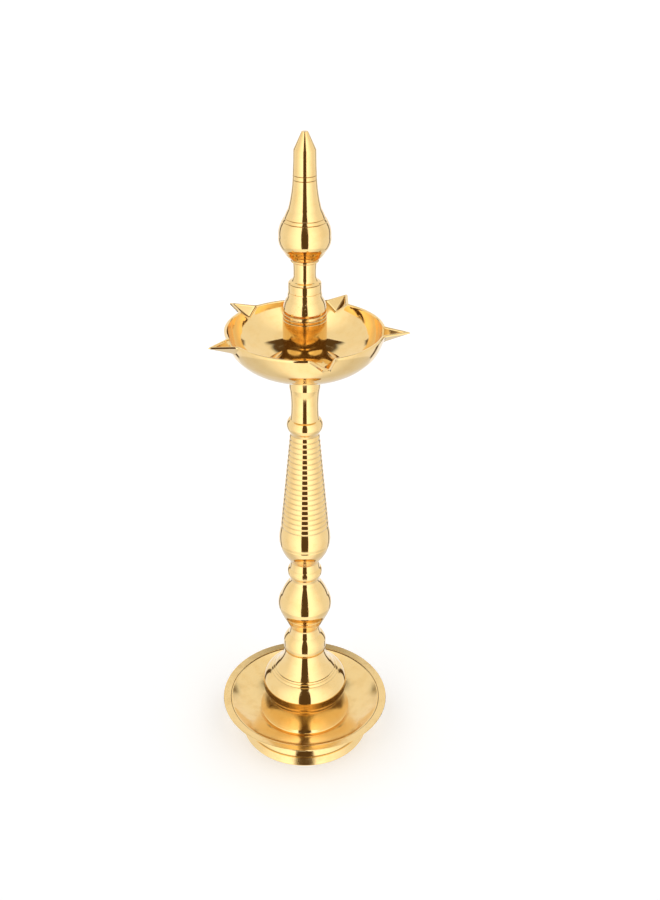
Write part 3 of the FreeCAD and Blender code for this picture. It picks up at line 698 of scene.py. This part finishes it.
# %% The column
STUD_BORE = 3.26            # mm, the radius of a stud's bore
COLUMN_SIDES = 112
COLUMN_HEIGHT = 146.3       # mm
RIBS = 19
RIB_SWELL = 0.52            # mm
RIB_ROWS = 10               # rows of faces to a rib
RIB_FOOT, RIB_TOP = (16.45, 30.2), (9.6, 102.6)
FOOT_BORE_DEPTH = 10.4
HEAD_BORE_END = 131.8       # mm above the column's foot
OUTLINE_STEP = 0.5          # mm
JUST_OVER = 1.0001          # so that rounding never adds a row to a rib
column_low = [(0, FOOT_BORE_DEPTH, 0), (STUD_BORE, FOOT_BORE_DEPTH, 0), (STUD_BORE, 0, 0),
              (10.3, 0, 0), (10.6, 0.25, -0.35), (12.9, 4.0, 0.75), (17.75, 15.3, 0),
              (17.6, 15.8, 0), (18.1, 16.2, 0.75), (*RIB_FOOT, 0)]
column_high = [(*RIB_TOP, 0), (10.6, 105.0, 0.35), (12.25, 109.2, 0.5), (10.6, 113.8, 0),
               (9.7, 114.3, -0.85), (10.35, 137.5, -0.05), (11.0, 144.6, 0.1), (11.0, 146.0, 0),
               (10.7, COLUMN_HEIGHT, 0), (STUD_BORE, COLUMN_HEIGHT, 0),
               (STUD_BORE, HEAD_BORE_END, 0), (0, HEAD_BORE_END, 0)]
column_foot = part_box("ribbed_column")[0].z
rib_step = math.dist(RIB_FOOT, RIB_TOP) / (RIBS * RIB_ROWS)
outline = walk(column_low, OUTLINE_STEP)[:-1]
outline += walk([(*RIB_FOOT, 0), (*RIB_TOP, 0)], rib_step * JUST_OVER)[:-1]
outline += walk(column_high, OUTLINE_STEP)
seed = bpy.data.meshes.new("column_outline")
seed.from_pydata([(r, 0, z + column_foot) for r, z in outline], [], [])
column = grow("column_turned", ribbed_turning, seed, {
    "Sides": COLUMN_SIDES, "Rib Foot": RIB_FOOT[1] * MM + column_foot,
    "Rib Top": RIB_TOP[1] * MM + column_foot, "Ribs": RIBS, "Rib Swell": RIB_SWELL * MM,
    "Material": finish["turned_brass"]})
give(column, "ribbed_column")

# %% [markdown]
# ## Threaded studs
# A rolled thread is a ridge that climbs one pitch for each turn. A bump map could suggest
# it, but a stud is seen end on when the lamp is apart, and its outline would stay smooth.
# The recipe moves the points of a wrapped grid: the phase of the thread is the height in
# pitches less the share of the way round, which is what makes rings into a helix.

# %% The recipe for a threaded stud
recipe, given = new_recipe("threaded_stud", {
    "Sides": "Int", "Rows": "Int", "Radius": "Float", "Foot": "Float", "Length": "Float",
    "Pitch": "Float", "Thread Depth": "Float", "Threaded Length": "Float", "Tip": "Float",
    "Material": "Material"})
columns = calc(recipe, "ADD", given["Sides"], 1.0)
grid, round_share, row = grid_shares(recipe, columns, given["Rows"])
steps = calc(recipe, "SUBTRACT", given["Rows"], 3.0)
share = calc(recipe, "DIVIDE", calc(recipe, "SUBTRACT", row, 1.0), steps)
share = put(recipe, "ShaderNodeClamp", {0: share}).outputs[0]
rise = calc(recipe, "MULTIPLY", share, given["Length"])
to_end = calc(recipe, "MINIMUM", rise, calc(recipe, "SUBTRACT", given["Length"], rise))
turns = calc(recipe, "DIVIDE", rise, given["Pitch"])
helix = calc(recipe, "SUBTRACT", turns, round_share)
phase = calc(recipe, "FRACT", calc(recipe, "ADD", helix, 1.0))
off_crest = calc(recipe, "SUBTRACT", calc(recipe, "MULTIPLY", phase, 2.0), 1.0)
flank = calc(recipe, "ABSOLUTE", off_crest)
fade_end = calc(recipe, "ADD", given["Threaded Length"], given["Pitch"])
cut = remap(recipe, to_end, given["Threaded Length"], fade_end, given["Thread Depth"], 0.0)
threaded = calc(recipe, "SUBTRACT", given["Radius"], calc(recipe, "MULTIPLY", flank, cut))
bevel = calc(recipe, "SUBTRACT", given["Radius"], calc(recipe, "SUBTRACT", given["Tip"], to_end))
radius = calc(recipe, "MINIMUM", threaded, bevel)
# The first and last rows go to the axis, which closes the stud's ends.
inner_rows = calc(recipe, "COMPARE", row, calc(recipe, "MULTIPLY_ADD", steps, 0.5, 1.0),
                  calc(recipe, "MULTIPLY_ADD", steps, 0.5, 0.1))
radius = calc(recipe, "MULTIPLY", radius, inner_rows)
turned = spin(recipe, grid, round_share, radius, calc(recipe, "ADD", rise, given["Foot"]))
finish_recipe(recipe, turned, given["Material"])
threaded_stud = recipe
print("recipe", recipe.name)

# %% The four studs
STUD_SIDES = 40
ROWS_PER_PITCH = 9
END_ROWS = 3                # a row at each end of the thread, and the last row of the grid
FIT = 0.02 * MM             # how far a crest stays inside the solid stud
THREAD_DEPTH = 0.55         # of the pitch
TIP_BEVEL = 0.8 * MM
COARSE, FINE = 1.41 * MM, 1.27 * MM
BASE_THREAD = 24 * MM       # the long base stud is threaded this far from each end
ALL_OF_IT = 1.0             # m, longer than any stud, so that no plain shank is left
for node, pitch, threaded_length in (
        ("base_stud", COARSE, BASE_THREAD), ("column_stud", FINE, ALL_OF_IT),
        ("bowl_stud", FINE, ALL_OF_IT), ("finial_stud", FINE, ALL_OF_IT)):
    low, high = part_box(node)
    length = high.z - low.z
    name = node.replace("_stud", "_threaded_stud")
    stud = grow(name, threaded_stud, bpy.data.meshes.new("seed"), {
        "Sides": STUD_SIDES, "Rows": int(length / pitch * ROWS_PER_PITCH) + END_ROWS,
        "Radius": high.x - FIT, "Foot": low.z, "Length": length, "Pitch": pitch,
        "Thread Depth": THREAD_DEPTH * pitch, "Threaded Length": threaded_length,
        "Tip": TIP_BEVEL, "Material": finish["stud_steel"]})
    give(stud, node)

# %% [markdown]
# ## Rings made of loops
# The bowl, nut, washer and seal all have a hole in the middle, so each is a closed outline
# carried once round. A modifier could spin one outline, but these outlines change on the
# way round: the bowl grows its beaks, and the nut its flats. So each loop of points is worked
# out for its own angle, and the loops are joined to their neighbours.

# %% The ring builder
def ring_of_loops(name, count, loop_at):
    """Join closed loops of points into a ring; loop_at gives the loop at an angle."""
    points = []
    for i in range(count):
        loop = loop_at(2 * math.pi * i / count)
        points.extend(loop)
    size = len(loop)
    faces = []
    for i in range(count):
        here, there = i * size, (i + 1) % count * size
        for j in range(size):
            k = (j + 1) % size
            faces.append((here + j, there + j, there + k, here + k))
    mesh = bpy.data.meshes.new(name)
    mesh.from_pydata(points, [], faces)
    face_outwards(mesh)
    mesh.shade_smooth()
    mesh.set_sharp_from_angle(angle=math.radians(CREASE_ANGLE))
    piece = bpy.data.objects.new(name, mesh)
    bpy.context.collection.objects.link(piece)
    return piece


# %% [markdown]
# ## The oil bowl
# The bowl is cast as a dish and its rim is drawn out into five beaks, each a pinched V that
# holds a wick. The wall keeps its thickness in a beak: the outside is pushed out along the
# beak's direction, and the inside follows a little less. How far depends on how near a point
# is to the beak's keel, counting both the distance across it and the depth below the rim.
# At one whole such step the beak's surface is back at its root, inside the wall, so the push
# dies out and the plain dish is left. The lip is rounded over between the two skins, as a
# file leaves it.

# %% Sizes of the bowl
RIM = 32.7                  # mm above the bowl's foot
BOWL_FLOOR = 3.6            # mm, how thick the bowl is under the pillar
LIP_ROUND = 0.9             # mm; the lip's rounding starts this far below the rim
LIP_STEPS = 7
DISH_STEP = 1.6             # mm between points of the dish
WALL_STEP = 0.55            # mm between them in the wall, where the beaks grow
outer_bend = (47.6, 19.0)   # where the dish turns up into its wall, outside and inside
inner_bend = (45.9, 20.0)
outer_skin = walk([(STUD_BORE, 0, 0), (11.3, 0, 0.6), (32.5, 7.6, 1.5), (*outer_bend, 0.3)],
                  DISH_STEP)[:-1]
outer_skin += walk([(*outer_bend, 0.7), (51.85, RIM - LIP_ROUND, 0)], WALL_STEP)
inner_skin = walk([(49.9, RIM - LIP_ROUND, -0.7), (*inner_bend, -0.3)], WALL_STEP)[:-1]
inner_skin += walk([(*inner_bend, -1.5), (32.0, 9.3, -0.5), (18.0, BOWL_FLOOR, 0),
                    (STUD_BORE, BOWL_FLOOR, 0)], DISH_STEP)
print(len(outer_skin) + len(inner_skin), "points in the dish's outline")

# %% Shape of a beak
BEAK_DIRECTIONS = [math.radians(a) for a in (-5.8, 64.4, 138.6, 208.0, 282.4)]
BEAK_ROOT = 46.0            # mm from the axis
# Each skin of a beak, in mm: half its width and its depth at the wall, its length from the
# root, how soft its keel is, how far it rises over the rim, and the furthest it may reach.
OUTSIDE = {"half_width": 11.6, "depth": 9.6, "length": 24.4, "soft": 0.55, "rise": 0.0,
           "end": 68.2}
INSIDE = {"half_width": 10.0, "depth": 7.8, "length": 21.2, "soft": 0.22, "rise": 0.4,
          "end": 66.2}
FILLET = 1.3                # mm, how softly a beak leaves the wall
SIDE_FADE = 2               # mm beside and
DEPTH_FADE = 4              # mm below a beak over which the push dies away


def drawn_out(x, y, z, skin):
    """Push a point of the dish's wall out to a beak's surface. Points are in mm."""
    for beak in BEAK_DIRECTIONS:
        along = x * math.cos(beak) + y * math.sin(beak)
        across = y * math.cos(beak) - x * math.sin(beak)
        if along < 0 or abs(across) > skin["half_width"] + SIDE_FADE:
            continue
        soft = math.hypot(across, skin["soft"]) - skin["soft"] * 0.5
        steps = soft / skin["half_width"] + (RIM - z + skin["rise"]) / skin["depth"]
        reach = BEAK_ROOT + skin["length"] * (1 - steps)
        gap = reach - along
        push = (gap + math.sqrt(gap * gap + FILLET * FILLET)) / 2
        fade = min(1.0, max(0.0, (z - RIM + skin["depth"] + DEPTH_FADE) / DEPTH_FADE))
        fade *= min(1.0, max(0.0, (skin["half_width"] + SIDE_FADE - abs(across)) / SIDE_FADE))
        push = min(push * fade, skin["end"] - along)
        x += push * math.cos(beak)
        y += push * math.sin(beak)
    return x, y


# %% The bowl
BOWL_LOOPS = 880
BEAK_ZONE = 14 * MM         # further below the rim than this the dish is plain,
BEAK_INSIDE = 40 * MM       # and so it is nearer the axis than this
bowl_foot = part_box("oil_bowl")[0].z


def skin_point(radius, height, angle, skin):
    """A point of the dish at an angle, pushed out where a beak needs it, in metres."""
    x, y = radius * math.cos(angle), radius * math.sin(angle)
    if height > RIM * MM - BEAK_ZONE and radius > BEAK_INSIDE:
        x, y = (v * MM for v in drawn_out(x / MM, y / MM, height / MM, skin))
    return Vector((x, y, height))


def bowl_loop(angle):
    """The closed outline of the bowl at one angle: outside, over the lip, inside."""
    outside = [skin_point(r, z, angle, OUTSIDE) for r, z in outer_skin]
    inside = [skin_point(r, z, angle, INSIDE) for r, z in inner_skin]
    lip = []
    for i in range(1, LIP_STEPS):
        over = math.pi * i / LIP_STEPS
        point = outside[-1].lerp(inside[0], (1 - math.cos(over)) / 2)
        point.z += LIP_ROUND * MM * math.sin(over)
        lip.append(point)
    return [(p.x, p.y, p.z + bowl_foot) for p in outside + lip + inside]


bowl = ring_of_loops("bowl_cast", BOWL_LOOPS, bowl_loop)
give(bowl, "oil_bowl")

# %% [markdown]
# ## Nut, washer and seal
# Under the tray a hexagon nut and a washer pull the stud tight, and a leather ring seals the
# bowl under the pillar. A nut is a hexagon only as far as its flats: its corners are cut by a
# cone at both faces. So its radius at an angle is the smaller of the two.

# %% Nut, washer and seal
BASE_BORE = 4.06 * MM       # the radius of the base stud's bores
WASHER_BEVEL = 0.25 * MM
SEAL_BEVEL = 0.2 * MM
BAND_LOOPS = 96
NUT_LOOPS = 240
NUT_SIDES = 6
NUT_FLAT = 6.5 * MM         # from the axis to the middle of a flat
NUT_CONE = 0.97             # the radius of a face's circle, against the flats
NUT_BEVEL = 0.4 * MM


def band_loop(low, high, inner, outer, bevel):
    """The outline of a flat ring with a small bevel on each edge, in metres."""
    return [(inner, low + bevel), (inner + bevel, low),
            (outer - bevel, low), (outer, low + bevel),
            (outer, high - bevel), (outer - bevel, high),
            (inner + bevel, high), (inner, high - bevel)]


def turned_to(outline, angle):
    """An outline of (radius, height) as points at an angle."""
    return [(r * math.cos(angle), r * math.sin(angle), z) for r, z in outline]


def plain_ring(name, node, inner, bevel):
    """A washer or seal with bevelled edges, as large as its solid."""
    low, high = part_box(node)
    outline = band_loop(low.z, high.z, inner, high.x, bevel)
    give(ring_of_loops(name, BAND_LOOPS, lambda angle: turned_to(outline, angle)), node)


def nut_loop(angle):
    """The nut's outline at an angle: flats, cut by a cone at both faces."""
    low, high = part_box("base_nut")
    turn = (angle + math.pi / NUT_SIDES) % (2 * math.pi / NUT_SIDES) - math.pi / NUT_SIDES
    flat = NUT_FLAT / math.cos(turn)
    face = min(flat, NUT_FLAT * NUT_CONE)
    shoulder = (flat - face) / 2
    return turned_to([
        (BASE_BORE, low.z + NUT_BEVEL), (BASE_BORE + NUT_BEVEL, low.z),
        (face, low.z), (flat, low.z + shoulder),
        (flat, high.z - shoulder), (face, high.z),
        (BASE_BORE + NUT_BEVEL, high.z), (BASE_BORE, high.z - NUT_BEVEL)], angle)


give(ring_of_loops("hex_nut", NUT_LOOPS, nut_loop), "base_nut")
plain_ring("tray_washer", "base_washer", BASE_BORE, WASHER_BEVEL)
plain_ring("pillar_seal", "bowl_seal", STUD_BORE * MM, SEAL_BEVEL)
